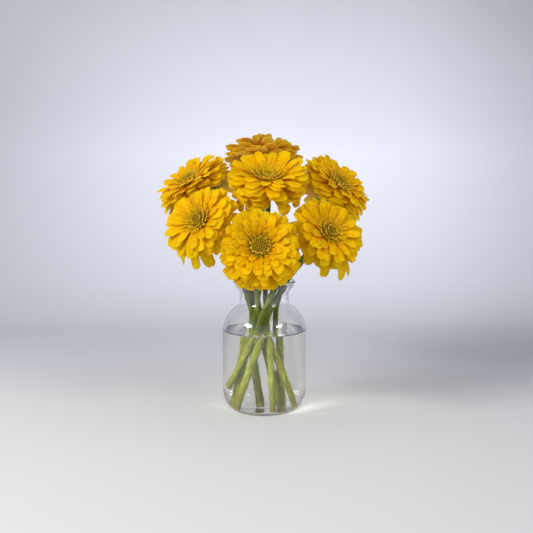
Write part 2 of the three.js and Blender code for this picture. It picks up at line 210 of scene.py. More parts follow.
@dataclass
class Skin:
    """The points, faces and marks of one piece, gathered before they become a mesh."""

    points: list[np.ndarray] = field(default_factory=list)
    faces: list[tuple[np.ndarray, int]] = field(default_factory=list)
    marks: dict[str, list[np.ndarray]] = field(default_factory=dict)
    count: int = 0

    def add(self, points: np.ndarray, faces: list[np.ndarray], finish: int = 0, **marks: np.ndarray | float) -> None:
        """Adds a shape.

        Args:
            points: Its points, in millimetres.
            faces: Its faces by point number, each array of one number of sides.
            finish: Which of the piece's finishes it takes.
            marks: Values at its points that its finish reads, one for all or one a point.
        """
        flat = np.asarray(points, float).reshape(-1, 3)
        for name in set(self.marks) | set(marks):
            if name not in self.marks:
                self.marks[name] = [np.zeros(self.count)] if self.count else []
            value = np.broadcast_to(np.asarray(marks.get(name, 0.0), float).ravel(), (len(flat),))
            self.marks[name].append(value)
        self.points.append(flat)
        self.faces.extend((np.asarray(f) + self.count, finish) for f in faces)
        self.count += len(flat)

    def shell(self, top: np.ndarray, depth: np.ndarray | float, finish: int = 0, **marks: np.ndarray | float) -> None:
        """Adds a closed leaf of tissue from the grid of its upper side.

        Args:
            top: Rows x columns x 3 points of the upper side.
            depth: How thick it is, in millimetres.
            finish: Which of the piece's finishes it takes.
            marks: Values at its points, as in add. The mark "under" is 1 on its lower side.
        """
        rows, columns = top.shape[:2]
        normal = unit(np.cross(np.gradient(top, axis=0), np.gradient(top, axis=1)))
        bottom = top - normal * np.broadcast_to(depth, (rows, columns))[..., None]
        faces = grid_faces(rows, columns)
        offset = rows * columns
        edge = rim(rows, columns)
        after = np.roll(edge, -1)
        sides = np.stack([after, edge, edge + offset, after + offset], axis=1)
        both = {name: np.tile(np.broadcast_to(value, (rows, columns)).ravel(), 2) for name, value in marks.items()}
        both["under"] = np.repeat([0.0, 1.0], offset)
        self.add(np.concatenate([top.reshape(-1, 3), bottom.reshape(-1, 3)]),
                 [faces, faces[:, ::-1] + offset, sides], finish, **both)

    def tube(
        self, rings: np.ndarray, finish: int = 0, ends: np.ndarray | None = None, **marks: np.ndarray | float
    ) -> None:
        """Adds a closed bar from rings of points, each end closed by a fan.

        Args:
            rings: Rings x sides x 3 points, each ring turning from the left to the right of its travel.
            finish: Which of the piece's finishes it takes.
            ends: The middle points of the two fans. By default they are the middles of the end rings.
            marks: Values at its points by ring and side, as in add.
        """
        rows, sides = rings.shape[:2]
        faces = grid_faces(rows, sides, closed=True)[:, ::-1]
        ends = rings[[0, -1]].mean(axis=1) if ends is None else ends
        i = np.arange(sides)
        k = (i + 1) % sides
        first = np.stack([np.full(sides, rows * sides), k, i], axis=1)
        last = np.stack([np.full(sides, rows * sides + 1), (rows - 1) * sides + i, (rows - 1) * sides + k], axis=1)
        spread = {}
        for name, value in marks.items():
            grid = np.broadcast_to(value, (rows, sides))
            spread[name] = np.concatenate([grid.ravel(), [grid[0].mean(), grid[-1].mean()]])
        self.add(np.concatenate([rings.reshape(-1, 3), ends]), [faces, np.concatenate([first, last])], finish, **spread)

    def build(self, name: str, finishes: list[bpy.types.Material], crease: float = 50.0) -> bpy.types.Object:
        """Makes the piece.

        Args:
            name: Its name.
            finishes: Its materials, in the order that the shapes name them.
            crease: The angle between faces, in degrees, over which an edge stays sharp.

        Returns:
            The new object, linked to the scene.
        """
        mesh = bpy.data.meshes.new(name)
        corners = np.concatenate([f.ravel() for f, _ in self.faces])
        sizes = np.concatenate([np.full(len(f), f.shape[1]) for f, _ in self.faces])
        mesh.vertices.add(self.count)
        mesh.vertices.foreach_set("co", (np.concatenate(self.points) * MM).astype(np.float32).ravel())
        mesh.loops.add(len(corners))
        mesh.loops.foreach_set("vertex_index", corners.astype(np.int32))
        mesh.polygons.add(len(sizes))
        mesh.polygons.foreach_set("loop_start", np.concatenate([[0], np.cumsum(sizes)[:-1]]).astype(np.int32))
        mesh.polygons.foreach_set(
            "material_index", np.concatenate([np.full(len(f), m) for f, m in self.faces]).astype(np.int32)
        )
        mesh.update(calc_edges=True)
        mesh.validate()
        for finish in finishes:
            mesh.materials.append(finish)
        mesh.shade_smooth()
        mesh.set_sharp_from_angle(angle=math.radians(crease))
        for mark, values in self.marks.items():
            layer = mesh.attributes.new(mark, "FLOAT", "POINT")
            layer.data.foreach_set("value", np.concatenate(values).astype(np.float32))
        made = bpy.data.objects.new(name, mesh)
        bpy.context.scene.collection.objects.link(made)
        return made


def dress(piece: bpy.types.Object, node: str) -> None:
    """Puts a finished piece in place of its node.

    Args:
        piece: The piece, in place.
        node: The node that it stands for.
    """
    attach(piece, BODY)
    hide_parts(node)
    LOG.info("%s: %d faces", piece.name, len(piece.data.polygons))


def add_node(
    tree: bpy.types.NodeTree, kind: str, inputs: dict[str | int, object], out: str | int = 0, **settings: object
) -> bpy.types.NodeSocket | None:
    """Adds one node with its settings and links.

    Args:
        tree: The nodes of a material or of the world.
        kind: Blender's name of the node, after "ShaderNode".
        inputs: What its inputs take, by name or number: a value, or the output of another node.
        out: Which of its outputs is returned.
        settings: Its own settings by name.

    Returns:
        That output, or None where it has no outputs.
    """
    node = tree.nodes.new(f"ShaderNode{kind}")
    for name, value in settings.items():
        setattr(node, name, value)
    for name, value in inputs.items():
        if isinstance(value, bpy.types.NodeSocket):
            tree.links.new(value, node.inputs[name])
        else:
            node.inputs[name].default_value = value
    return node.outputs[out] if node.outputs else None


def new_material(name: str) -> tuple[bpy.types.Material, Callable[..., bpy.types.NodeSocket | None]]:
    """Starts a material.

    Args:
        name: Its name.

    Returns:
        The material without any nodes, and add_node bound to its nodes.
    """
    material = bpy.data.materials.new(name)
    material.use_nodes = True
    material.node_tree.nodes.clear()
    return material, partial(add_node, material.node_tree)


def set_ramp(output: bpy.types.NodeSocket, stops: list[tuple[float, int]]) -> None:
    """Sets the colours of a ramp.

    Args:
        output: The colour output of the ramp's node.
        stops: Each place from 0 to 1 and its sRGB hex colour, in order.
    """
    ramp = output.node.color_ramp
    while len(ramp.elements) < len(stops):
        ramp.elements.new(0.5)
    for element, (place, colour) in zip(ramp.elements, stops):
        element.position = place
        element.color = linear(colour)


@dataclass(frozen=True)
class PetalTissue:
    """Ray petals: living tissue with a waxy skin, thin enough for light to come through, so shaded petals glow.

    Veins run along each petal about a millimetre apart, and their creases go deeper in colour, partly a real vein tone
    and partly painted shade. The root is greener and deeper, with painted shade along its margins and in the gaps
    between the claws. The underside is paler, and further lightened with painted light.
    """

    name: str = "zinnia_petal_living_tissue"
    claw: int = 0xC8A804
    middle: int = 0xF6D000
    tip: int = 0xF0DE00
    under: int = 0xFFF080
    under_share: float = 0.75
    youth: int = 0xCCC00E
    vein_and_crease_shade: int = 0xE49E00
    painted_shade_gap: int = 0x6E4400
    through: int = 0xFFEC78
    through_share: float = 0.7
    vein_spacing: float = 1.1
    vein_length: float = 9.9
    roughness: float = 0.5
    specular: float = 0.1
    translucency: float = 0.6

    def make(self) -> bpy.types.Material:
        """Returns the material."""
        material, add = new_material(self.name)
        read = {
            mark: add("Attribute", {}, "Fac", attribute_name=mark)
            for mark in ("reach", "side", "run", "tone", "youth", "under", "margin")
        }
        # Noise stretched along the petal: 1 unit is a vein's spacing across, and nine times that along.
        across = add("Math", {0: read["side"], 1: self.vein_spacing}, operation="DIVIDE")
        along = add("Math", {0: read["run"], 1: self.vein_length}, operation="DIVIDE")
        apart = add("Math", {0: read["tone"], 1: 61.0}, operation="MULTIPLY")
        place = add("CombineXYZ", {0: across, 1: along, 2: apart})
        veins = add("TexNoise", {"Vector": place, "Scale": 1.0, "Detail": 2.0})
        blotch = add("TexNoise", {"Vector": place, "Scale": 0.33, "Detail": 1.0})
        length = add("ValToRGB", {"Fac": read["reach"]})
        set_ramp(length, [(0.0, self.claw), (0.2, self.claw), (0.42, self.middle), (1.0, self.tip)])
        young = add("Mix", {0: read["youth"], 6: length, 7: linear(self.youth)}, 2, data_type="RGBA")
        # The underside is paler, and its colour is lightened further as painted light on a side that lies in shade.
        below = add("Math", {0: read["under"], 1: self.under_share}, operation="MULTIPLY")
        sides = add("Mix", {0: below, 6: young, 7: linear(self.under)}, 2, data_type="RGBA")
        # Veins and their creases go deeper in colour, partly a real vein tone and partly painted shade, most of all
        # near the root. Along the root's margins and in the gaps between the claws the colour is painted shade.
        stripe = add("MapRange", {0: veins, 1: 0.62, 2: 0.34, 4: 0.45})
        root = add("MapRange", {0: read["reach"], 1: 0.25, 2: 0.85, 3: 1.0, 4: 0.35})
        patch = add("Math", {0: add("MapRange", {0: blotch, 1: 0.56, 2: 0.4}), 1: root}, operation="MULTIPLY")
        vein_and_crease_shade = add("Math", {0: stripe, 1: patch}, operation="MAXIMUM")
        vein_and_crease_shade = add("Math", {0: vein_and_crease_shade, 1: read["margin"]}, operation="MAXIMUM")
        faint = add("MapRange", {0: read["under"], 3: 1.0, 4: 0.5})
        vein_and_crease_shade = add("Math", {0: vein_and_crease_shade, 1: faint}, operation="MULTIPLY")
        # Painted shade: the crease colour is darkest at the root, in the gaps between the claws.
        crease = add("ValToRGB", {"Fac": read["reach"]})
        set_ramp(crease, [(0.12, self.painted_shade_gap), (0.48, self.vein_and_crease_shade)])
        deep = add("Mix", {0: vein_and_crease_shade, 6: sides, 7: crease}, 2, data_type="RGBA")
        light = add("MapRange", {0: read["tone"], 3: 0.9, 4: 1.08})
        colour = add("VectorMath", {0: deep, "Scale": light}, operation="SCALE")
        bump = add("Bump", {"Strength": 0.35, "Distance": 0.0004, "Height": veins})
        skin = add("BsdfPrincipled", {
            "Base Color": colour, "Normal": bump, "Roughness": self.roughness, "IOR": TISSUE_IOR,
            "Specular IOR Level": self.specular,
        })
        # Light that comes through is only a little deeper than the surface, as in any thin petal.
        pale = add("Mix", {0: self.through_share, 6: colour, 7: linear(self.through)}, 2, data_type="RGBA")
        glow = add("BsdfTranslucent", {"Color": pale})
        both = add("MixShader", {0: self.translucency, 1: skin, 2: glow})
        add("OutputMaterial", {"Surface": both})
        return material


@dataclass(frozen=True)
class FloretTissue:
    """Disc florets: small fleshy tubes. Closed ones are olive, open ones are yellow stars, and shade is painted dark in
    the gaps between them.
    """

    name: str = "zinnia_disc_floret_tissue"
    painted_shade_gap: int = 0x64480A
    bud: int = 0xA4820A
    bud_tip: int = 0xAE9020
    star: int = 0xE6BA28
    roughness: float = 0.62
    specular: float = 0.12

    def make(self) -> bpy.types.Material:
        """Returns the material."""
        material, add = new_material(self.name)
        rise, opened, tone = (add("Attribute", {}, "Fac", attribute_name=mark) for mark in ("rise", "open", "tone"))
        # Painted shade: the foot of each floret and the dome between them take the dark gap colour.
        bud = add("ValToRGB", {"Fac": rise})
        set_ramp(bud, [(0.0, self.painted_shade_gap), (0.55, self.bud), (1.0, self.bud_tip)])
        star = add("ValToRGB", {"Fac": rise})
        set_ramp(star, [(0.0, self.painted_shade_gap), (0.4, self.bud), (0.8, self.star)])
        mixed = add("Mix", {0: opened, 6: bud, 7: star}, 2, data_type="RGBA")
        light = add("MapRange", {0: tone, 3: 0.75, 4: 1.2})
        colour = add("VectorMath", {0: mixed, "Scale": light}, operation="SCALE")
        skin = add("BsdfPrincipled", {
            "Base Color": colour, "Roughness": self.roughness, "IOR": TISSUE_IOR, "Specular IOR Level": self.specular,
        })
        add("OutputMaterial", {"Surface": skin})
        return material


@dataclass(frozen=True)
class StemTissue:
    """Cut stems: ridged, finely hairy green tissue. What stands in water is bleached to olive yellow."""

    name: str = "zinnia_stem_ridged_tissue"
    dry: int = 0x828E42
    dry_dark: int = 0x525E26
    wet: int = 0xA0A434
    wet_dark: int = 0x5E6614
    cut: int = 0xA8A258
    foot_shade: int = 0xC8C0AA
    crowded_shade: int = 0xB6C28A
    plain: int = 0xFFFFFF
    shade_height: float = 0.2
    streak: float = 0.9
    streak_length: float = 9.9
    roughness: float = 0.55
    specular: float = 0.18
    sheen: float = 0.04

    def make(self) -> bpy.types.Material:
        """Returns the material."""
        material, add = new_material(self.name)
        read = {
            mark: add("Attribute", {}, "Fac", attribute_name=mark) for mark in ("run", "side", "tone", "cut")
        }
        axes = add("SeparateXYZ", {0: add("TexCoord", {}, "Object")}, 2)
        wetted = add("MapRange", {0: axes, 1: (WATER_LEVEL - 6) * MM, 2: (WATER_LEVEL + 4) * MM, 3: 1.0, 4: 0.0})
        # Streaks about a millimetre wide and a centimetre long, along the ridges.
        across = add("Math", {0: read["side"], 1: self.streak}, operation="DIVIDE")
        along = add("Math", {0: read["run"], 1: self.streak_length}, operation="DIVIDE")
        place = add("CombineXYZ", {0: across, 1: along, 2: read["tone"]})
        streaks = add("TexNoise", {"Vector": place, "Scale": 1.0, "Detail": 3.0})
        spread = add("MapRange", {0: streaks, 1: 0.35, 2: 0.65})
        dry, wet = (
            add("Mix", {0: spread, 6: linear(dark), 7: linear(light)}, 2, data_type="RGBA")
            for dark, light in ((self.dry_dark, self.dry), (self.wet_dark, self.wet))
        )
        mixed = add("Mix", {0: wetted, 6: dry, 7: wet}, 2, data_type="RGBA")
        colour = add("Mix", {0: read["cut"], 6: mixed, 7: linear(self.cut)}, 2, data_type="RGBA")
        # Painted shade: greener and deeper where the stems crowd from above the water up to the neck. Darker and
        # browner towards their feet.
        band = add("ValToRGB", {"Fac": add("MapRange", {0: axes, 1: 0.0, 2: self.shade_height})})
        set_ramp(band, [(0.05, self.foot_shade), (0.21, self.plain), (0.46, self.plain), (0.51, self.crowded_shade),
                        (0.6, self.crowded_shade), (0.7, self.plain)])
        shaded = add("Mix", {0: 1.0, 6: colour, 7: band}, 2, data_type="RGBA", blend_type="MULTIPLY")
        bump = add("Bump", {"Strength": 0.6, "Distance": 0.0006, "Height": streaks})
        skin = add("BsdfPrincipled", {
            "Base Color": shaded, "Normal": bump, "Roughness": self.roughness, "IOR": TISSUE_IOR,
            "Specular IOR Level": self.specular, "Sheen Weight": self.sheen, "Sheen Roughness": 0.5,
        })
        add("OutputMaterial", {"Surface": skin})
        return material


@dataclass(frozen=True)
class BractTissue:
    """Bracts of the cup: leathery scales that overlap like tiles, each with a dark papery margin."""

    name: str = "zinnia_bract_leathery_tissue"
    green: int = 0x5F7134
    pale: int = 0x8A9347
    margin: int = 0x26220E
    roughness: float = 0.5
    specular: float = 0.4

    def make(self) -> bpy.types.Material:
        """Returns the material."""
        material, add = new_material(self.name)
        edge, tone = (add("Attribute", {}, "Fac", attribute_name=mark) for mark in ("edge", "tone"))
        body = add("Mix", {0: tone, 6: linear(self.green), 7: linear(self.pale)}, 2, data_type="RGBA")
        colour = add("Mix", {0: edge, 6: body, 7: linear(self.margin)}, 2, data_type="RGBA")
        # A grain of about a millimetre.
        grain = add("TexNoise", {"Scale": 900.0, "Detail": 2.0})
        bump = add("Bump", {"Strength": 0.3, "Distance": 0.0003, "Height": grain})
        skin = add("BsdfPrincipled", {
            "Base Color": colour, "Normal": bump, "Roughness": self.roughness, "IOR": TISSUE_IOR,
            "Specular IOR Level": self.specular,
        })
        add("OutputMaterial", {"Surface": skin})
        return material


@dataclass(frozen=True)
class ClearBody:
    """A clear body that bends light: blown soda-lime glass or still water. Its shadow lets the light through.

    Blown glass is never quite even: it swells about every 2 cm by its wave, in metres. A faint grey in its depth, as
    dense as the density, makes edges that are seen through much glass darker than the walls.
    """

    name: str
    tint: int
    shadow: int
    ior: float
    roughness: float = 0.0
    wave: float = 0.0
    deep: int = 0xD8DAD9
    density: float = 0.0

    def make(self) -> bpy.types.Material:
        """Returns the material."""
        material, add = new_material(self.name)
        looks = {
            "Base Color": linear(self.tint), "Roughness": self.roughness, "IOR": self.ior, "Transmission Weight": 1.0,
        }
        if self.wave:
            swell = add("TexNoise", {"Scale": 45.0, "Detail": 1.0})
            looks["Normal"] = add("Bump", {"Strength": 1.0, "Distance": self.wave, "Height": swell})
        body = add("BsdfPrincipled", looks)
        through = add("BsdfTransparent", {"Color": linear(self.shadow)})
        both = add("MixShader", {0: add("LightPath", {}, "Is Shadow Ray"), 1: body, 2: through})
        sides = {"Surface": both}
        if self.density:
            sides["Volume"] = add("VolumeAbsorption", {"Color": linear(self.deep), "Density": self.density})
        add("OutputMaterial", sides)
        return material


@dataclass(frozen=True)
class SweepPaper:
    """Matt studio paper with no gloss: pale grey, a little cooler where it rises, with light and shade painted on it:
    darker at its bend and near its top, and painted shade away from its lit middle.
    """

    name: str = "matt_studio_paper"
    near: int = 0xC7C7C4
    bend: int = 0xBDBEC1
    rise: int = 0xCFD0D6
    wall: int = 0xE4E5EE
    top: int = 0xC9CAD0
    away: int = 0xA4A6AA
    roughness: float = 0.9
    specular: float = 0.1

    def make(self) -> bpy.types.Material:
        """Returns the material."""
        material, add = new_material(self.name)
        run, reach = (add("Attribute", {}, "Fac", attribute_name=mark) for mark in ("run", "reach"))
        # Painted light and shade by run: a darker band at the bend, the lit wall, and darker again near the top.
        colour = add("ValToRGB", {"Fac": run})
        set_ramp(colour, [(0.26, self.near), (0.4, self.bend), (0.5, self.bend), (0.6, self.rise), (0.8, self.wall),
                          (0.95, self.top)])
        # Painted shade: the paper darkens towards away from its lit middle, to the right, and in a painted shadow on
        # the floor beyond the vase.
        painted_dimming = add("Mix", {0: reach, 6: colour, 7: linear(self.away)}, 2, data_type="RGBA")
        paper = add("BsdfPrincipled", {
            "Base Color": painted_dimming, "Roughness": self.roughness, "Specular IOR Level": self.specular,
        })
        # Seen from behind, the paper lets the view through.
        side = add("NewGeometry", {}, "Backfacing")
        both = add("MixShader", {0: side, 1: paper, 2: add("BsdfTransparent", {})})
        add("OutputMaterial", {"Surface": both})
        return material


class Kind(Enum):
    """How full a bloom is."""

    SPARSE = "sparse"
    OPEN = "open"
    DOUBLE = "double"
    FULL = "full"


@dataclass(frozen=True)
class Whorl:
    """A ring of petals: how many, the root's place out from the axis and up from the disc, the rise at root and tip in
    degrees, length, width, and its turn as a share of a petal.

    Curl turns the last third of a petal, cup bends its margins down, claw is the share of its width at the root and
    blunt how far back its round tip starts. An extra whorl stands between those that the solid has. Youth makes a
    petal narrow, rolled and green, and spoon keeps it narrow up to its round end.
    """

    count: int
    out: float
    up: float
    rise: float
    tip: float
    length: float
    width: float
    turn: float
    curl: float = -10.0
    cup: float = 0.14
    claw: float = 0.26
    blunt: float = 0.95
    extra: bool = False
    youth: float = 0.0
    spoon: float = 0.0


FULL_WHORLS = (
    Whorl(14, 5, -14, 0, -46, 36, 13.5, 0, claw=0.32, blunt=0.8),
    Whorl(15, 5, -11.5, 12, -28, 42, 13.5, 0.5, claw=0.32, blunt=0.8),
    Whorl(14, 5, -9, 24, -12, 44, 13.5, 0.25, claw=0.34, blunt=0.75),
    Whorl(12, 5.5, -6.5, 36, 4, 41, 13, 0.7, claw=0.34, blunt=0.75),
    Whorl(9, 7.5, -5, 47, 20, 35, 12, 0.4, claw=0.34, blunt=0.8),
    Whorl(20, 5, -12.7, 6, -38, 36.5, 11, 0.25, curl=16, cup=-0.16, claw=0.34, blunt=0.75, extra=True),
    Whorl(21, 5, -10.2, 18, -21, 42.5, 11, 0.0, curl=18, cup=-0.16, claw=0.34, blunt=0.75, extra=True),
    Whorl(22, 5.2, -7.8, 30, -5, 42.5, 10.5, 0.35, curl=16, cup=-0.16, claw=0.34, blunt=0.75, extra=True),
    Whorl(20, 6.2, -5.8, 42, 12, 38.5, 10.5, 0.1, curl=8, cup=-0.08, claw=0.22, blunt=0.75, extra=True, spoon=0.3),
    Whorl(18, 7.4, -4.6, 50, 24, 31, 9, 0.6, claw=0.15, blunt=0.8, cup=0.04, extra=True, youth=0.1, spoon=0.4),
    Whorl(16, 8.6, -3.6, 56, 34, 22, 7, 0.3, claw=0.14, curl=-4, cup=0.0, extra=True, youth=0.3, spoon=0.4),
    Whorl(18, 8.7, -2.0, 54, 36, 13, 2.0, 0.2, curl=6, cup=-0.8, extra=True, youth=0.75),
    Whorl(23, 5, -13.4, 3, -42, 34.5, 10, 0.75, curl=18, cup=-0.2, claw=0.34, blunt=0.7, extra=True),
    Whorl(25, 5, -11.4, 15, -27, 39.5, 9.5, 0.5, curl=20, cup=-0.2, claw=0.34, blunt=0.7, extra=True),
)
DOUBLE_WHORLS = (
    Whorl(9, 5, -12, 0, -46, 46, 13.5, 0, claw=0.36, spoon=0.8),
    Whorl(12, 5, -10, 11, -26, 46, 15.5, 0.5),
    Whorl(12, 5, -7.5, 20, -12, 45, 15, 0.25),
    Whorl(10, 5.5, -5.5, 29, 0, 42, 14, 0.7),
    Whorl(8, 7.5, -4.5, 38, 12, 36, 12.5, 0.4),
    Whorl(10, 5, -8.7, 16, -18, 46, 15, 0.0, extra=True),
    Whorl(12, 5.2, -6.4, 25, -6, 44, 14, 0.35, extra=True),
    Whorl(12, 6.5, -5.2, 34, 6, 39, 13, 0.1, extra=True),
    Whorl(12, 7.4, -4.2, 44, 20, 31, 9.5, 0.6, curl=-4, cup=0.0, extra=True, youth=0.25),
    Whorl(26, 7.4, -2.8, 52, 36, 17, 2.5, 0.2, curl=6, cup=-0.4, extra=True, youth=0.8),
    Whorl(22, 6.0, -2.0, 62, 48, 13, 2.2, 0.6, curl=6, cup=-0.4, extra=True, youth=0.95),
    Whorl(15, 3.6, -1.0, 76, 66, 9, 1.9, 0.3, curl=6, cup=-0.4, extra=True, youth=1.0),
)
OPEN_WHORLS = (
    Whorl(13, 5, -10, 10, -26, 46, 15, 0),
    Whorl(12, 5, -7.5, 18, -13, 44, 14.5, 0.5),
    Whorl(9, 5.5, -5.5, 28, 2, 40, 13, 0.2),
    Whorl(7, 7.5, -5, 37, 13, 34, 11.5, 0.6),
    Whorl(12, 5, -8.7, 14, -19, 45, 14, 0.25, extra=True),
    Whorl(11, 5.2, -6.4, 23, -6, 42, 13.5, 0.75, extra=True),
    Whorl(10, 6.5, -5.2, 32, 8, 37, 12, 0.35, extra=True),
    Whorl(12, 8, -3.8, 43, 20, 28, 8.5, 0.1, curl=-4, cup=0.0, extra=True, youth=0.25),
    Whorl(22, 7.8, -2.8, 54, 38, 15, 2.1, 0.4, curl=8, cup=-0.5, extra=True, youth=0.85),
    Whorl(16, 5.8, -1.8, 66, 52, 11, 1.9, 0.1, curl=8, cup=-0.5, extra=True, youth=0.95),
)
SPARSE_WHORLS = (
    Whorl(12, 5, -10, 12, -24, 46, 16, 0),
    Whorl(11, 5, -7.5, 22, -10, 42, 15, 0.5),
    Whorl(8, 5.5, -5.5, 36, 8, 34, 12.5, 0.2),
    Whorl(12, 5, -8.7, 17, -18, 44, 15, 0.25, extra=True),
    Whorl(10, 5.2, -6.4, 29, -2, 38, 13, 0.75, extra=True),
    Whorl(11, 6.5, -5.2, 42, 16, 29, 10.5, 0.35, extra=True),
    Whorl(16, 8, -3.4, 62, 46, 14, 4, 0.1, curl=4, cup=-0.6, extra=True, youth=0.6),
)


@dataclass(frozen=True)
class Form:
    """What a kind of bloom is made of: its rings of petals, and how deep it is from its disc down to its cup.

    Frill is how ruffled its petals are. Fade below 1 lets the deep colour of their roots, and the shade painted between
    their claws, run further out. Square makes them longer at four corners.
    """

    whorls: tuple[Whorl, ...]
    depth: float
    frill: float = 1.0
    fade: float = 1.0
    square: float = 0.0


FORMS = {
    Kind.FULL: Form(FULL_WHORLS, 17.0, 1.7, 0.62, 0.035),
    Kind.DOUBLE: Form(DOUBLE_WHORLS, 15.0),
    Kind.OPEN: Form(OPEN_WHORLS, 13.0),
    Kind.SPARSE: Form(SPARSE_WHORLS, 13.0),
}


@dataclass(frozen=True)
class Bloom:
    """Where a flower stands: the middle of its disc's foot, its axis by bearing and height, its size, turn and sag,
    then its stem's foot, waist and radius, as in the solids.

    Ripe is the share of its outer florets that are open, and hang is where its lowest petals hang apart, in degrees
    from the bottom.
    """

    name: str
    kind: Kind
    at: tuple[float, float, float]
    bearing: float
    height: float
    size: float
    turn: float
    sag: float
    foot: tuple[float, ...]
    waist: tuple[float, float]
    stem: float
    ripe: float = 0.5
    hang: tuple[float, ...] = ()


BLOOMS = (
    Bloom("front", Kind.FULL, (-4.5, -86, 208.5), 3, 32, 1.02, 10, 8, (12.8, 16.8), (-5, -7.9), 3.2, 1.0),
    Bloom("front_left", Kind.DOUBLE, (-75, -46, 234.5), -38, 34, 1.0, 0, 32, (-3.1, 26.1), (-14.5, 3.4), 3.0, 0.0,
          (-42, -9, 19)),
    Bloom("front_right", Kind.DOUBLE, (75, -46, 221), 36, 35, 0.96, 20, 30, (-26.8, -6.3), (2.9, -13), 3.6, 0.1,
          (-12, 21, 47)),
    Bloom("middle", Kind.DOUBLE, (4.8, -14, 281), 0, 67, 1.2, 5, 28, (-24.9, 14.1), (-11.2, -2.9), 3.0, 0.0,
          (-31, 28)),
    Bloom("left", Kind.OPEN, (-88, 8, 278), -60, 55, 0.99, 12, 26, (28, 1.1), (-3.3, 4.7), 3.0, 0.1),
    Bloom("right", Kind.OPEN, (88.5, 10, 274), 58, 50, 0.98, 0, 28, (-31.2, 10, 26), (-4.4, -19.6), 3.2, 0.2),
    Bloom("back", Kind.OPEN, (-3, 62, 305), 180, 67, 1.1, 8, 10, (9, -25.8), (3.1, -3.8), 2.9, 0.6),
    Bloom("back_left", Kind.SPARSE, (-76, 84, 268), -135, 55, 0.98, 3, 10, (-22.4, 20.2), (-15.4, 10.9), 2.8, 0.4),
    Bloom("back_right", Kind.SPARSE, (82, 86, 262), 135, 52, 0.95, 14, 10, (12.7, 24.9), (13.4, -1.5), 3.0, 0.7),
)


@dataclass(frozen=True)
class Hanging:
    """How the lowest petals that hang apart differ from the others: they swing and sag less, and are longer and wider.

    Outer makes them longer on the side away from the bouquet's middle, and aside longer away from straight down. Beside
    them the low petals are shorter by clear.
    """

    swing: float = 0.3
    sag: float = 0.35
    length: float = 1.04
    width: float = 1.2
    outer: float = 0.25
    aside: float = 0.15
    clear: float = 0.15


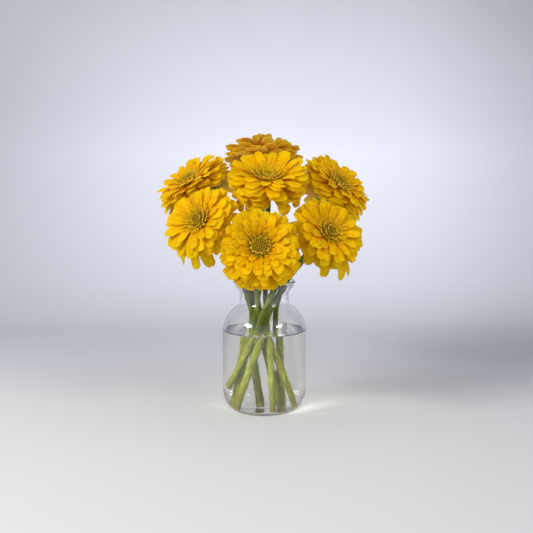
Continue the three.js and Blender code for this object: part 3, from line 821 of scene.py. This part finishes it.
@dataclass
class Flower:
    """One cut zinnia: its stem with the cup of bracts, its petals on their receptacle, and its disc of florets."""

    number: int
    petal_rows: int = 15
    petal_columns: int = 9
    young_rows: int = 9
    young_columns: int = 5
    petal_thickness: float = 0.5
    ruffle: float = 0.75
    channel: float = 0.45
    fold: float = 0.22
    crinkle: float = 0.45
    bow: float = 0.5
    twist: float = 8.0
    midline_points: int = 65
    apart: Hanging = Hanging()
    round_sides: int = 24
    foot_height: float = 7.1
    stem_sides: int = 20
    stem_ridge: float = 0.035
    stem_waver: float = 0.02
    waver_length: float = 17.0
    scar_places: tuple[tuple[float, float, int], ...] = ((30, 18, 1), (118, 20, 2), (176, 20, 3))
    scar_swell: float = 0.13
    scar_reach: float = 4.5
    disc_radius: float = 9.6
    disc_height: float = 3.6
    disc_lift: float = 0.3
    disc_reach: float = 1.5
    floret_count: int = 110
    star_count: int = 22
    bract_thickness: float = 0.35
    bract_rows: tuple[tuple[int, float, float], ...] = (
        (8, -10.4, -5.4),
        (11, -8.8, -2.6),
        (12, -6.2, 0.2),
        (13, -3.4, 2.0),
    )

    def __post_init__(self) -> None:
        """Looks up the bloom and works out its own directions."""
        self.bloom = BLOOMS[self.number]
        bearing, height = math.radians(self.bloom.bearing), math.radians(self.bloom.height)
        level = math.cos(height)
        self.centre = np.array(self.bloom.at, float)
        self.axis = np.array([math.sin(bearing) * level, -math.cos(bearing) * level, math.sin(height)])
        self.across = np.array([math.cos(bearing), math.sin(bearing), 0.0])
        self.over = np.cross(self.axis, self.across)
        self.form = FORMS[self.bloom.kind]
        self.depth = self.form.depth

    def place(self, out: np.ndarray, bearing: np.ndarray, up: np.ndarray) -> np.ndarray:
        """Places points of the bloom.

        Args:
            out: Distances out from its axis.
            bearing: Their bearings about it, in radians.
            up: Their heights along it.

        Returns:
            The points, with a last axis of 3.
        """
        out, bearing, up = np.broadcast_arrays(out, bearing, up)
        return (
            self.centre
            + self.across * (out * np.cos(bearing))[..., None]
            + self.over * (out * np.sin(bearing))[..., None]
            + self.axis * up[..., None]
        )

    def heading(self, bearing: float) -> tuple[np.ndarray, np.ndarray]:
        """Returns the way out from the axis at a bearing, and the way along the ring there."""
        outward = self.across * math.cos(bearing) + self.over * math.sin(bearing)
        return outward, np.cross(self.axis, outward)

    def dome(self, polar: float, bearing: np.ndarray | float) -> np.ndarray:
        """Returns points of the disc's dome, by their angle down from its top and their bearing."""
        height = self.disc_lift + self.disc_height * math.cos(polar)
        return self.place(self.disc_radius * math.sin(polar), bearing, height)

    def pressed(self, points: np.ndarray) -> np.ndarray:
        """Bends points away from the planes where the neighbouring blooms press.

        Args:
            points: The points, with a last axis of 3.

        Returns:
            The bent points, of the same shape.
        """
        points = points.copy()
        for other in (*BLOOMS[:self.number], *BLOOMS[self.number + 1:]):
            towards = np.array(other.at, float) - self.centre
            halfway = np.linalg.norm(towards) / 2
            towards = unit(towards)
            beyond = (points - self.centre) @ towards - (halfway - PRESS_CLEAR - PRESS_DEPTH)
            held = np.maximum(beyond, 0)
            points += towards * (PRESS_DEPTH * (1 - np.exp(-held / PRESS_DEPTH)) - held)[..., None]
        return points

    def bearings(self, whorl: Whorl) -> tuple[np.ndarray, np.ndarray]:
        """Gives the petals of a ring their bearings.

        Args:
            whorl: The ring.

        Returns:
            Their bearings in radians, and which of them hang apart at the bottom.
        """
        bearings = math.radians(self.bloom.turn) + math.tau / whorl.count * (np.arange(whorl.count) + whorl.turn)
        hanging = np.zeros(whorl.count, bool)
        if whorl.spoon and self.bloom.hang:
            off = (bearings + 1.5 * math.pi) % math.tau - math.pi
            nearest = sorted(np.argsort(np.abs(off))[:len(self.bloom.hang)], key=lambda n: off[n])
            bearings[nearest] = np.radians(self.bloom.hang) - math.pi / 2
            hanging[nearest] = True
        return bearings, hanging

    def petal(self, skin: Skin, whorl: Whorl, bearing: float, hanging: bool, serial: int) -> None:
        """Adds one petal.

        Args:
            skin: What it is added to.
            whorl: The ring that it belongs to.
            bearing: Its bearing about the bloom's axis, in radians.
            hanging: Whether it hangs apart from the others.
            serial: Its number in the bloom, which its chances are drawn from.
        """
        draw = [chance(self.number, serial, what) * 2 - 1 for what in range(16)]
        bloom, form, apart = self.bloom, self.form, self.apart
        bearing += math.pi / whorl.count * SPREAD_BEARING * draw[1] * (apart.swing if hanging else 1)
        outward, sideways = self.heading(bearing)
        root = math.radians(whorl.rise + SPREAD_RISE * 0.5 * draw[2])
        sag = bloom.sag * min(outward[2], 0.0) * (apart.sag if hanging else 1)
        tip = math.radians(whorl.tip + SPREAD_RISE * draw[3] + sag)
        length = bloom.size * whorl.length * (1 + SPREAD_LENGTH / 2 * draw[4])
        half = bloom.size * whorl.width / 2 * (1 + 0.07 * draw[5])
        length *= 1 - form.square * math.cos(4 * bearing)
        if hanging:
            aside = bearing + math.pi / 2
            length *= apart.length + apart.outer * aside * min(max(bloom.at[0] / 60, -1), 1) + apart.aside * abs(aside)
            half *= apart.width
        elif bloom.hang and whorl.tip < -10:
            length *= 1 - apart.clear * smooth(0.55, 0.95, -math.sin(bearing))
        young = whorl.youth > 0.5
        ripe = 0 if young else 1
        rows, columns = (self.young_rows, self.young_columns) if young else (self.petal_rows, self.petal_columns)
        u = (1 - (1 - np.linspace(0, 1, rows)) ** 1.15)[:, None]
        v = np.sin(np.linspace(-math.pi / 2, math.pi / 2, columns))[None, :]

        # The midline, its rise changing evenly along it and curling near the tip.
        fine = np.linspace(0, 1, self.midline_points)
        curl = math.radians(whorl.curl * (1 + 1.3 * draw[6]))
        rise = root + (tip - root) * fine + curl * np.clip((fine - 0.66) / 0.34, 0, None) ** 1.5
        step = length / (self.midline_points - 1)
        out_line = whorl.out + gathered(np.cos(rise), step)
        up_line = whorl.up + gathered(np.sin(rise), step)

        # The outline: a narrow claw, then broad up to a round and sometimes notched tip.
        late = smooth(0.5, 1, u)
        tip_depth = whorl.blunt * half / length * (1 - np.sqrt(np.clip(1 - v**2, 0, 1)))
        notch = 0.03 * max(draw[7], 0) * np.exp(-((v / 0.22) ** 2)) + 0.012 * form.frill * np.cos(9 * v + 3 * draw[9])
        reach = u - (tip_depth + notch) * late
        claw = whorl.claw + (0.3 if young else 0)
        broad = 0.52 + 0.33 * whorl.spoon
        width = (claw + (1 - claw) * smooth(0.02 + 0.25 * whorl.spoon, broad, u)) * (1 - 0.1 * smooth(0.75, 1, u))

        # Relief: a channel at the claw, margins bent by the whorl's cup, two long folds and ruffles at the margins.
        channel = self.channel * half * v**2 * (1 - smooth(0.1, 0.55, u))
        cupped = -whorl.cup * (1 + 0.8 * draw[8]) * half * v**2 * smooth(0.3, 0.95, u)
        folds = self.fold * np.cos(math.tau * v) * smooth(0.05, 0.3, u) * (1 - 0.5 * late)
        frill = form.frill * ripe
        waves = self.ruffle * frill * np.abs(v) ** 1.8 * smooth(0.3, 0.9, u)
        waves = waves * np.sin(math.tau * (1.7 + 0.6 * draw[9]) * u + math.pi * draw[10] + 1.9 * np.sign(v) * draw[11])
        crinkle = self.crinkle * frill * late * np.sin(math.tau * (1.2 + 0.3 * draw[11]) * v + math.pi * draw[9])
        bow = self.bow * np.sin(math.pi * (1.5 * u + draw[12])) * smooth(0.2, 0.7, u)
        twist = half * width * v * math.radians(self.twist * draw[13]) * u**1.5
        lift = channel + cupped + folds + waves + crinkle + bow + twist
        bent = length * 0.035 * draw[14] * u**2

        out = np.interp(reach, fine, out_line)
        up = np.interp(reach, fine, up_line)
        lean = np.interp(reach, fine, rise)
        points = (
            self.centre
            + outward * (out - np.sin(lean) * lift)[..., None]
            + self.axis * (up + np.cos(lean) * lift)[..., None]
            + sideways * (half * width * v + bent)[..., None]
        )
        green = whorl.youth * (1 - 0.3 * u) if young else whorl.youth * (1 - smooth(0.12, 0.5, u))
        # Painted shade: the margins darken near the root, where the claws shade each other.
        margin = np.abs(v) ** 3 * (1 - smooth(0.35, 0.85, u)) + 0.5 * v**2 * (1 - smooth(0.05, 0.4, u))
        depth = self.petal_thickness * (1 - 0.45 * v**2) * (1 - 0.4 * late)
        skin.shell(
            self.pressed(points), depth, reach=reach * (form.fade + (1 - form.fade) * u), side=half * width * v,
            run=reach * length, tone=0.5 + 0.5 * draw[15], youth=green + 0 * v, margin=margin,
        )

    def petals(self, finish: bpy.types.Material) -> None:
        """Makes all the petals on their receptacle.

        Args:
            finish: Their material.
        """
        skin = Skin()
        rows = [(6.3, -self.depth + 0.3), (7.6, -self.depth * 0.75), (9.2, -6), (10.6, -2), (10.2, 0)]
        rings = np.array([self.place(out, around(self.round_sides), up) for out, up in rows])
        skin.tube(rings, reach=0.0, youth=0.4)
        serials = {False: count(), True: count(EXTRA_PETALS)}
        for whorl in self.form.whorls:
            for bearing, hanging in zip(*self.bearings(whorl)):
                self.petal(skin, whorl, bearing, hanging, next(serials[whorl.extra]))
        name = self.bloom.name
        dress(skin.build(f"petals_{name}_ruffled", [finish], 60), f"petals_{name}")

    def floret(self, skin: Skin, polar: float, bearing: float, tall: float, wide: float, draw: float) -> None:
        """Adds one closed floret.

        Args:
            skin: What it is added to.
            polar: Its angle down the dome from the top.
            bearing: Its bearing about the axis.
            tall: How far it stands out of the dome.
            wide: Its radius.
            draw: Its own chance from 0 to 1.
        """
        outward, side = self.heading(bearing)
        normal = unit(outward * math.sin(polar) / self.disc_radius + self.axis * math.cos(polar) / self.disc_height)
        ring = circle(side, np.cross(normal, side), around(6) + draw * 3)
        # How high and how wide it is, as shares of its height and radius, from below the dome up to its tip.
        profile = ((-0.3, 0.6), (0.35, 0.95), (0.75, 0.9), (1.0, 0.45))
        rings = np.array([self.dome(polar, bearing) + normal * (tall * h) + ring * (wide * w) for h, w in profile])
        skin.tube(rings, rise=np.array([0.0, 0.35, 0.8, 1.0])[:, None], open=0.0, tone=draw)

    def star(self, skin: Skin, out: float, bearing: float, up: float, tall: float, draw: float) -> None:
        """Adds one open floret: a tube with five pointed lobes.

        Args:
            skin: What it is added to.
            out: Its distance from the axis.
            bearing: Its bearing about the axis.
            up: Where its foot is along the axis.
            tall: How high it stands.
            draw: Its own chance from 0 to 1.
        """
        outward, side = self.heading(bearing)
        normal = unit(self.axis + outward * (0.35 + 0.3 * draw))
        other = np.cross(normal, side)
        foot = self.place(out, bearing, up)
        turns = around(5) + draw * 2
        profile = ((-1.0, 0.45), (tall * 0.6, 0.55), (tall, 0.8))
        rings = np.array([foot + normal * height + circle(side, other, turns) * radius for height, radius in profile])
        skin.tube(rings, rise=np.array([0.0, 0.55, 0.6])[:, None], open=1.0, tone=draw)
        # Each lobe has two corners on the tube's rim with its tip between them, and a point on its underside.
        aside, radii, lift = np.array([[-0.75, 0, 0.75, 0], [0.6, 1.35 + 0.4 * draw, 0.6, 0.7], [0, 0.55, 0, 0.35]])
        faces = np.array([[0, 2, 1], [0, 1, 3], [1, 2, 3], [2, 0, 3]])
        for turn in turns:
            spread = circle(side, other, turn + aside) * radii[:, None]
            points = foot + normal * (tall - 0.05 + lift)[:, None] + spread
            skin.add(points, [faces], rise=np.array([0.8, 1.0, 0.8, 1.0]), open=1.0, tone=draw)

    def disc(self, finish: bpy.types.Material) -> None:
        """Makes the disc: its dome, painted dark as the shade between the florets, the closed florets in spirals over
        it, and the open ones round it.

        Args:
            finish: Their material.
        """
        skin = Skin()
        rings = [self.dome(math.pi / 2 * (1 - k / 7), around(self.round_sides)) for k in range(7)]
        skin.tube(np.array(rings), rise=0.22, open=0.0, tone=0.5)
        for k in range(self.floret_count):
            share = (k + 0.5) / self.floret_count
            draw = chance(self.number, CLOSED_FLORETS + k, 1)
            tall = 1.5 + 1.3 * share + 0.8 * draw
            polar = self.disc_reach * math.sqrt(share)
            self.floret(skin, polar, k * GOLDEN_ANGLE, tall, 0.86 + 0.2 * share, draw)
        for k in range(self.star_count):
            draw, opens, shift = (chance(self.number, OPEN_FLORETS + k, what) for what in (1, 2, 3))
            turn = math.tau * (k + 0.5 * shift) / self.star_count
            # More of them are open on the lower side.
            if opens < self.bloom.ripe * (0.75 - 0.4 * math.sin(turn)):
                self.star(skin, 6.8 + 2.6 * draw, turn, 2.4 - draw, 3.0 + 1.2 * draw, draw)
        name = self.bloom.name
        dress(skin.build(f"disc_{name}_florets", [finish], 40), f"disc_{name}")

    def stem_line(self) -> tuple[np.ndarray, np.ndarray]:
        """Returns points along the stem, and how far along it each lies."""
        foot, waist = self.bloom.foot, np.array([*self.bloom.waist, WAIST_HEIGHT])
        start = np.array([*foot, self.foot_height][:3])
        end = self.centre - self.axis * (self.depth + CUP_DEPTH - STEM_SINK)
        along = unit(waist - start)
        pull = np.linalg.norm(end - waist) / 3
        straight = [start + (waist - start) * k / 24 for k in range(25)]
        bend = bezier(waist, waist + along * pull, end - self.axis * pull, end, 40)
        points = np.array(straight + bend)
        steps = np.linalg.norm(np.diff(points, axis=0), axis=1)
        return points, np.concatenate([[0.0], np.cumsum(steps)])

    def stem(self, finishes: list[bpy.types.Material]) -> None:
        """Makes the stem with its ridges and leaf scars, and the cup of bracts at its top.

        Args:
            finishes: The materials of the stem and of the bracts.
        """
        skin = Skin()
        points, run = self.stem_line()
        along = unit(np.gradient(points, axis=0))
        across = np.array([1.0, 0.0, 0.0])
        turns = around(self.stem_sides)
        ridges = 1 + self.stem_ridge * np.cos(turns * 6)
        scars = [low + spread * chance(self.number, STEM_SCARS, what) for low, spread, what in self.scar_places]
        rings = []
        for k, point in enumerate(points):
            across = unit(across - along[k] * (across @ along[k]))
            over = np.cross(along[k], across)
            swell = 1 + sum(self.scar_swell * math.exp(-(((run[k] - scar) / self.scar_reach) ** 2)) for scar in scars)
            swell *= 1 + self.stem_waver * math.sin(run[k] / self.waver_length + self.number)
            rings.append(point + circle(across, over, turns) * (self.bloom.stem * swell * ridges)[:, None])
        cut = np.zeros((len(points), 1))
        cut[0] = 0.8
        tone = 10 * chance(self.number, STEM_SCARS, 4)
        skin.tube(np.array(rings), run=run[:, None], side=(turns * self.bloom.stem)[None, :], tone=tone, cut=cut)
        for n, scar in enumerate(scars):
            self.leaf_scars(skin, points, along, run, scar, n)
        self.cup(skin)
        name = self.bloom.name
        dress(skin.build(f"stem_{name}_ridged", finishes, 55), f"stem_{name}")

    def leaf_scars(
        self, skin: Skin, points: np.ndarray, along: np.ndarray, run: np.ndarray, scar: float, n: int
    ) -> None:
        """Adds the two stubs left where a pair of leaves was stripped.

        Args:
            skin: What they are added to.
            points: Points along the stem.
            along: Its direction at each.
            run: How far along it each lies.
            scar: How far along it the stubs are.
            n: Which pair this is.
        """
        k = int(np.argmin(np.abs(run - scar)))
        turn = math.pi * (n * 0.5 + chance(self.number, STEM_SCARS + 10 + n, 1))
        across = unit(np.cross(along[k], np.array([0.3, 1.0, 0.2])))
        over = np.cross(along[k], across)
        for side in (0, math.pi):
            way = across * math.cos(turn + side) + over * math.sin(turn + side)
            flank = np.cross(along[k], way)
            tilt = unit(way + 0.9 * along[k])
            base = points[k] + way * (self.bloom.stem * 0.75)
            ring = circle(flank, np.cross(tilt, flank), around(8))
            shape = [(0.0, 1.25), (1.1, 1.0), (1.7 + chance(self.number, STEM_SCARS + 20 + n, 2), 0.55)]
            rings = np.array([base + tilt * height + ring * radius for height, radius in shape])
            skin.tube(rings, run=scar, side=0.0, tone=n + 0.5, cut=np.array([0.0, 0.0, 0.35])[:, None])

    def cup_radius(self, height: np.ndarray | float) -> np.ndarray | float:
        """Returns the cup's radius by height above its top edge, as in the solids."""
        return np.interp(height, [-CUP_DEPTH, -7.92, -3.96, 0, 4], [self.bloom.stem + 0.8, 7.8, 9.8, CUP_RADIUS, 9.2])

    def cup(self, skin: Skin) -> None:
        """Adds the cup under the bloom and its rows of bracts.

        Args:
            skin: What they are added to.
        """
        rings = [
            self.place(self.cup_radius(up) - self.bract_thickness, around(self.round_sides), up - self.depth)
            for up in np.linspace(-CUP_DEPTH, 0, 8)
        ]
        skin.tube(np.array(rings), 1, edge=0.6, tone=0.0)
        s = np.linspace(1, -1, 7)[None, :]
        t = np.linspace(0, 1, 8)[:, None]
        for row, (bracts, low, high) in enumerate(self.bract_rows):
            for n in range(bracts):
                draw = chance(self.number, BRACTS + row * 20 + n, 1)
                centre = math.tau * (n + 0.5 * row + 0.25 * draw) / bracts
                up = low + (high - low) * (t - 0.3 * np.abs(s) ** 2.4 * t)
                spread = math.tau / bracts * 0.66 * (0.75 + 0.35 * np.sin(math.pi * np.clip(t * 0.85, 0, 1)))
                stand = 0.25 + (len(self.bract_rows) - row) * 0.16 + (0.35 + 0.4 * draw) * t**2
                top = self.place(self.cup_radius(up) + stand - 0.25 * s**2, centre + s * spread, up - self.depth)
                edge = smooth(0.7, 1.0, np.maximum(np.abs(s) * (0.3 + 0.7 * t), t + 0 * s))
                skin.shell(top, self.bract_thickness, 1, edge=edge, tone=0.2 + 0.6 * draw)

    def make(self, petal: bpy.types.Material, floret: bpy.types.Material, stem: list[bpy.types.Material]) -> None:
        """Makes the whole flower.

        Args:
            petal: The petals' material.
            floret: The florets' material.
            stem: The materials of the stem and of its bracts.
        """
        self.stem(stem)
        self.petals(petal)
        self.disc(floret)


@dataclass
class Vase:
    """The clear glass bottle: a straight body, a round heel and shoulder, a short neck and a flared lip."""

    height: float = 158.0
    body: float = 50.0
    wall: float = 3.0
    floor: float = 6.0
    foot: float = 31.0
    heel_top: float = 28.0
    shoulder_bottom: float = 97.0
    turn_height: float = 122.5
    turn_radius: float = 38.5
    shoulder_top: float = 136.0
    neck: float = 29.5
    neck_top: float = 141.0
    lip: float = 37.0
    lip_half: float = 2.0
    push_up: float = 1.2
    floor_middle: float = 14.0
    sides: int = 128
    steps: int = 14

    def heel(self, inset: float, floor: float) -> list[np.ndarray]:
        """Gives the outline of the floor's edge and the round heel.

        Args:
            inset: How far in from the outside it lies.
            floor: The height of the floor.

        Returns:
            Points as radius and height, from the floor up to the straight body.
        """
        foot, body = self.foot - inset, self.body - inset
        start = (foot, floor)
        rest = bezier(start, (foot + 9, floor), (body, self.heel_top - 17), (body, self.heel_top), self.steps)
        return [np.array(start), *rest]

    def wall_outline(self, inset: float, floor: float) -> list[np.ndarray]:
        """Gives the outline from the floor up to the top of the shoulder.

        Args:
            inset: How far in from the outside it lies.
            floor: The height of the floor.

        Returns:
            Points as radius and height.
        """
        body, neck, turn = self.body - inset, self.neck - inset, self.turn_radius - inset
        low, middle, high = self.shoulder_bottom, self.turn_height, self.shoulder_top
        straight = [np.array([body, self.heel_top + (low - self.heel_top) * k / 6]) for k in range(1, 7)]
        first = bezier((body, low), (body, low + 10), (turn + 6.5, middle - 6.5), (turn, middle), self.steps)
        # The fillet at the neck is larger inside the glass.
        fillet = 0.8 + 0.35 * inset
        handle, end = (neck + fillet, high - 8 + fillet), (neck, high + 2 * fillet)
        second = bezier((turn, middle), (turn - 5, middle + 5), handle, end, self.steps)
        return [*self.heel(inset, floor), *straight, *first, *second]

    def turned(self, outline: list[tuple[float, float] | np.ndarray], worn: int = 0) -> Skin:
        """Turns an outline about the vase's axis.

        Args:
            outline: Points as radius and height, the first and last of them on the axis.
            worn: How many of its first bands take the second finish.

        Returns:
            The closed skin.
        """
        skin = Skin()
        path = np.array(outline)
        inner = path[1:-1]
        turns = around(self.sides)
        rings = np.stack([
            inner[:, :1] * np.cos(turns), inner[:, :1] * np.sin(turns), np.repeat(inner[:, 1:], self.sides, axis=1)
        ], axis=-1)
        skin.tube(rings, ends=np.array([[0, 0, path[0, 1]], [0, 0, path[-1, 1]]]))
        bands, fans = (faces for faces, _ in skin.faces)
        edge, under = worn * self.sides, int(worn > 0)
        skin.faces = [(bands[edge:], 0), (fans[self.sides:], 0), (bands[:edge], under), (fans[:self.sides], under)]
        return skin

    def make(self, finishes: list[bpy.types.Material]) -> None:
        """Makes the glass.

        Args:
            finishes: The materials of the glass and of its worn underside.
        """
        neck, low, lip, top = self.neck, self.neck_top, self.lip, self.height
        bore, throat_lip, rim_low = neck - self.wall, lip - 4, top - self.lip_half
        mouth = bezier((neck, low), (neck, low + 8), (lip - 1, top - 9), (lip, rim_low), self.steps)
        edge = bezier((lip, rim_low), (lip, top - 0.5), (lip - 1, top), (lip - self.lip_half, top), 6)
        throat = bezier((bore, low), (bore, low + 9), (throat_lip, top - 7), (throat_lip, top - 1), self.steps)
        roll = bezier((throat_lip, top - 1), (throat_lip, top - 0.4), (lip - 3.4, top), (lip - 2.6, top), 5)
        dish = [(0.0, self.push_up), (12.0, self.push_up * 0.9), (21.0, self.push_up * 0.55), (26.0, 0.15)]
        outer = [*dish, (28.5, 0.0), *self.wall_outline(0, 0)[1:], (neck, low), *mouth, *edge]
        inside = [*self.wall_outline(self.wall, self.floor), (bore, low), *throat, *roll]
        skin = self.turned([*outer, *inside[::-1], (self.floor_middle, self.floor), (0.0, self.floor)], len(dish))
        dress(skin.build("vase_blown_glass", finishes, 80), "vase")


@dataclass
class Water:
    """The water: it wets the glass all round, and its surface climbs a little where it meets the wall."""

    vase: Vase
    level: float = WATER_LEVEL
    into_glass: float = 0.15
    climb: float = 1.3

    def make(self, finish: bpy.types.Material) -> None:
        """Makes the water.

        Args:
            finish: Its material.
        """
        inset = self.vase.wall - self.into_glass
        floor = self.vase.floor - self.into_glass
        body = self.vase.body - inset
        low, high = self.vase.heel_top, self.level + self.climb
        outline = [(0.0, floor), (self.vase.floor_middle, floor), *self.vase.heel(inset, floor)]
        outline += [(body, low + (high - low) * k / 6) for k in range(1, 7)]
        for share in (0.35, 0.12, 0.03, 0.0):
            outline.append((body - self.climb * 1.6 * (1 - share**0.5), self.level + self.climb * share))
        outline += [(radius, self.level) for radius in (30.0, 15.0, 0.0)]
        skin = self.vase.turned(outline)
        dress(skin.build("water_still", [finish], 60), "water")


@dataclass
class Studio:
    """The pale paper sweep, two soft boxes, the room's own light and the camera.

    The paper's light and shade are painted on it. Its painted light is brightest at the lit side and height, and fall
    is how far from there the painted shade deepens, in millimetres. The painted shade everywhere, on the floor and on
    the wall is how much it darkens to the right, the floor's share a painted shadow. The camera's focal length and
    image are in pixels and its sensor in millimetres.
    """

    camera_at: tuple[float, float, float] = (2.59, -1300.0, 359.0)
    camera_pitch: float = 8.08
    focal_pixels: float = 1103.9
    image_side: float = 533.0
    sensor: float = 36.0
    sweep_start: float = 460.0
    sweep_radius: float = 380.0
    sweep_height: float = 2600.0
    sweep_half: float = 2600.0
    sweep_front: float = -2400.0
    painted_light_side: float = 100.0
    painted_light_height: float = 370.0
    fall_across: float = 560.0
    fall_up: float = 420.0
    painted_shade_everywhere: float = 0.14
    painted_shadow_floor: float = 0.72
    painted_shade_wall: float = 0.2

    def sweep(self, finish: bpy.types.Material) -> None:
        """Makes the paper sweep.

        Args:
            finish: Its material.
        """
        turns = np.linspace(0, math.pi / 2, 25)
        start, radius = self.sweep_start, self.sweep_radius
        path = [(y, 0.0) for y in (self.sweep_front, -800.0, -300.0, -100.0, 0.0, 150.0, 300.0)]
        path += [(start + radius * math.sin(t), radius * (1 - math.cos(t))) for t in turns]
        path += [(start + radius, z) for z in (440.0, 500.0, 560.0, 620.0, 700.0, 900.0, self.sweep_height)]
        across = np.concatenate([[-self.sweep_half, -1400], np.linspace(-900, 900, 37), [1400, self.sweep_half]])
        far, high = (np.array(values)[:, None] for values in zip(*path))
        along = far + high
        x, y, z, run = np.broadcast_arrays(across[None, :], far, high, np.clip((along + 500) / 2000, 0, 1))
        # Painted shade: it darkens away from its lit middle where it has risen, and to the right of the view, most on
        # the floor beyond the vase, where a shadow is painted, and then high on the wall.
        off = np.hypot((x - self.painted_light_side) / self.fall_across, np.maximum(z - self.painted_light_height, 0) / self.fall_up)
        right = smooth(0.1, 0.25, x / np.maximum(y - self.camera_at[1], 500))
        beyond = np.exp(-(((along - 320) / 220) ** 2))
        painted_dimming = self.painted_shade_everywhere + self.painted_shadow_floor * beyond + self.painted_shade_wall * smooth(400, 560, high)
        reach = np.clip(smooth(0.1, 1.5, off) * smooth(250, 650, along) + right * painted_dimming, 0, 1)
        skin = Skin()
        skin.add(np.stack([x, y, z], axis=-1), [grid_faces(*x.shape)[:, ::-1]], run=run, reach=reach)
        skin.build("paper_sweep", [finish], 60)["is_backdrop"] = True

    def soft_box(
        self, name: str, bearing: float, height: float, distance: float, size: tuple[float, float], power: float
    ) -> None:
        """Hangs a white soft box that faces the bouquet.

        Args:
            name: Its name.
            bearing: Where it stands, 0 in front and 90 to the right.
            height: Its height above level, in degrees.
            distance: How far it is, in metres.
            size: Its width and height, in metres.
            power: Its power, in watts.
        """
        lamp = bpy.data.lights.new(name, "AREA")
        lamp.shape = "RECTANGLE"
        lamp.size, lamp.size_y = size
        lamp.energy = power
        b, h = math.radians(bearing), math.radians(height)
        way = Vector((math.sin(b) * math.cos(h), -math.cos(b) * math.cos(h), math.sin(h)))
        made = bpy.data.objects.new(name, lamp)
        made.location = Vector((0, 0, 0.2)) + way * distance
        made.rotation_mode = "QUATERNION"
        made.rotation_quaternion = way.to_track_quat("Z", "Y")
        bpy.context.scene.collection.objects.link(made)

    def room(self, colour: int, strength: float) -> None:
        """Sets the light that comes from all round.

        Args:
            colour: Its colour.
            strength: Its strength.
        """
        world = bpy.data.worlds.new("room")
        world.use_nodes = True
        tree = world.node_tree
        tree.nodes.clear()
        ground = add_node(tree, "Background", {"Color": linear(colour), "Strength": strength})
        add_node(tree, "OutputWorld", {"Surface": ground})
        bpy.context.scene.world = world

    def camera(self) -> None:
        """Sets up the camera, level but for its pitch."""
        data = bpy.data.cameras.new("camera")
        data.sensor_fit = "HORIZONTAL"
        data.sensor_width = self.sensor
        data.lens = self.sensor * self.focal_pixels / self.image_side
        data.clip_start = 0.05
        data.clip_end = 20.0
        made = bpy.data.objects.new("camera", data)
        made.location = Vector(self.camera_at) * MM
        made.rotation_euler = (math.radians(90 - self.camera_pitch), 0, 0)
        bpy.context.scene.collection.objects.link(made)
        bpy.context.scene.camera = made

    def make(self, paper: bpy.types.Material) -> None:
        """Sets up the whole studio.

        Args:
            paper: The sweep's material.
        """
        self.sweep(paper)
        self.soft_box("key_left", -52, 31, 1.7, (0.62, 0.2), 21.5)
        self.soft_box("fill_right", 47, 30, 1.8, (0.5, 0.18), 8)
        self.room(0xF4F5FF, 0.83)
        self.camera()
        view = bpy.context.scene.view_settings
        view.view_transform = "Standard"
        view.look = "None"
        LOG.info("studio: sweep, two soft boxes, room light and camera")


def corners(box: tuple[Vector, Vector]) -> list[list[float]]:
    """Returns a box's lowest and highest corners as plain lists."""
    return [list(corner) for corner in box]


def main() -> None:
    """Builds the vase, the water and the nine flowers, and lights them."""
    logging.basicConfig(level=logging.INFO, format="%(name)s %(message)s")
    cad_box = corners(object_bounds())
    glass = ClearBody("clear_glass_blown", 0xFEFEFE, 0xF7F7F7, 1.5, 0.0, 0.00003, density=18.0)
    water = ClearBody("water_clear_still", 0xFCFBF4, 0xFAFAF6, 1.333)
    vase = Vase()
    worn = ClearBody("clear_glass_worn_underside", 0xFEFEFE, 0xF7F7F7, 1.5, 0.3)
    vase.make([glass.make(), worn.make()])
    Water(vase).make(water.make())
    petal, floret = PetalTissue().make(), FloretTissue().make()
    stem = [StemTissue().make(), BractTissue().make()]
    for number in range(len(BLOOMS)):
        Flower(number).make(petal, floret, stem)
    Studio().make(SweepPaper().make())
    bpy.context.view_layer.update()
    {"cad": cad_box, "visual": corners(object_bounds())}


if __name__ == "__main__":
    main()
